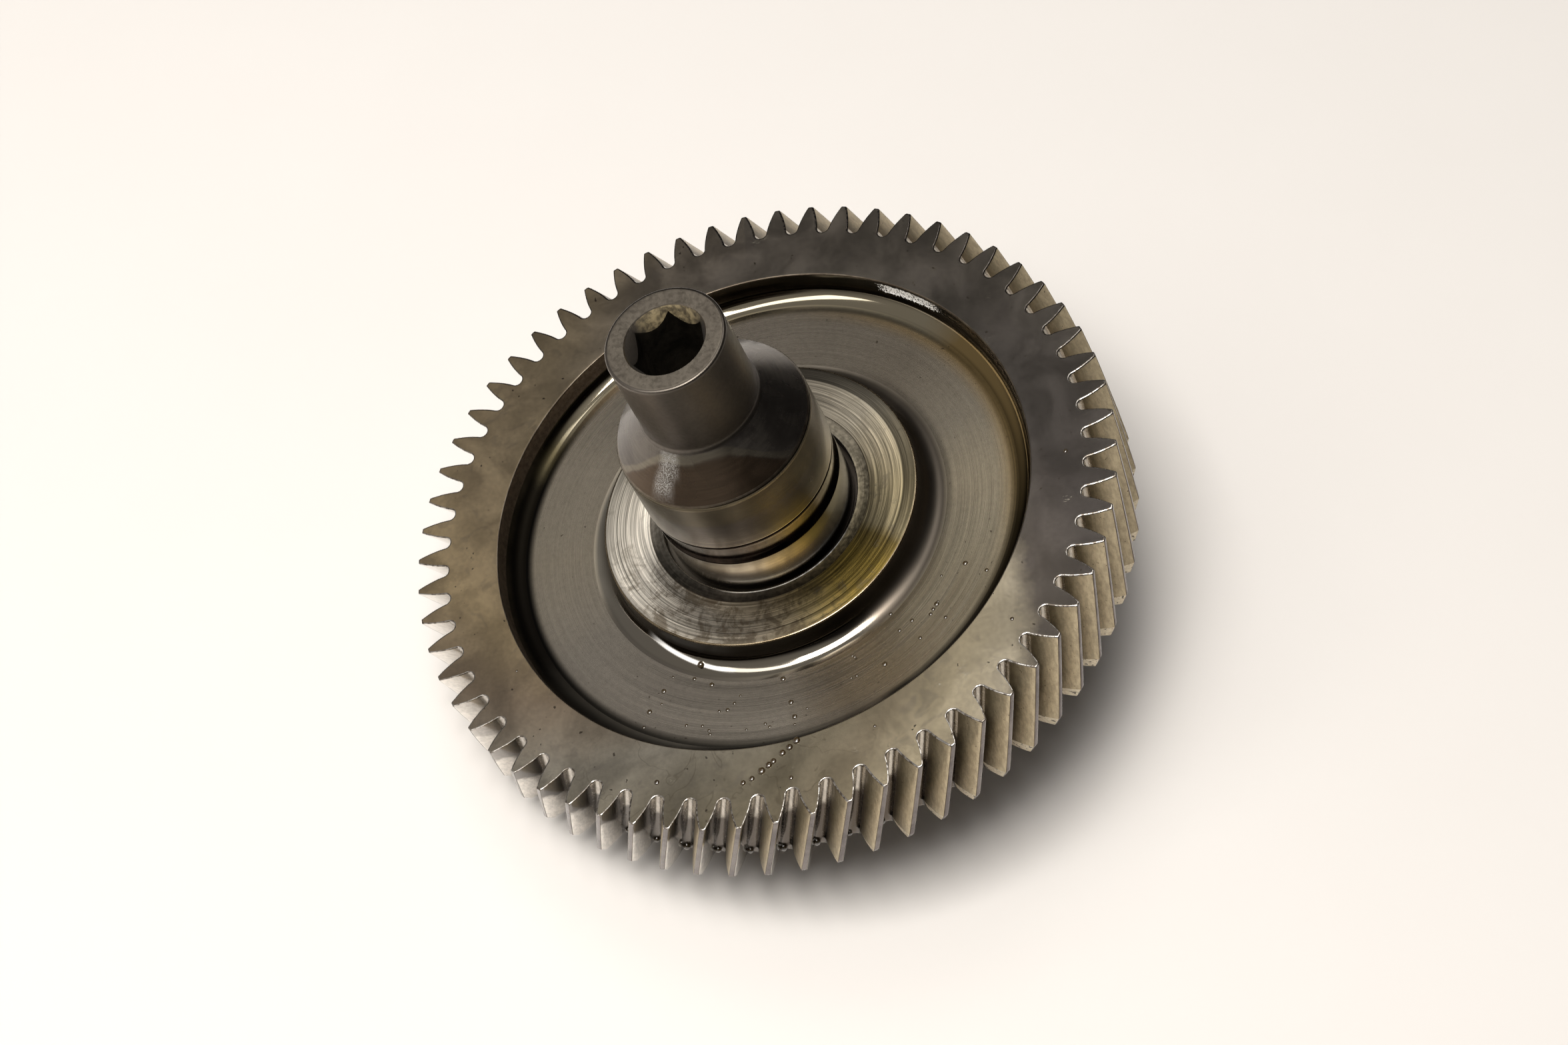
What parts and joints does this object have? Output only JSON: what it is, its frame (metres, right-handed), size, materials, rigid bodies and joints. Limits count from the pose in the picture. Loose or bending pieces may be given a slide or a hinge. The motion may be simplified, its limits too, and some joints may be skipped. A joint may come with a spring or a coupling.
{
  "type": "helical gear",
  "caption": "Helical gear wheel with a recessed web and raised thrust hub, keyed to a stub drive shaft with a grooved bearing journal, a conical shoulder and a hexagon socket in its spigot.",
  "frame": {"origin": "centre of the rear journal's end face, on the gear's axis", "axes": "+Z along the gear's axis towards the spigot with the hexagon socket; +X through the middle of a tooth tip at the rim's front face"},
  "size_m": [0.157, 0.1568, 0.1071],
  "materials": {
    "gear_wheel": "ground and turned steel, worn bright on the thrust face and under a brown film of oil",
    "drive_shaft": "ground journal polished by running, dull oiled spigot and shoulder",
    "drive_key": "drawn key steel",
    "retaining_ring": "phosphated spring steel"
  },
  "bodies": {
    "root": {"gear_wheel": "gear_wheel", "drive_shaft": "drive_shaft", "drive_key": "drive_key", "retaining_ring": "retaining_ring"}
  },
  "joints": []
}
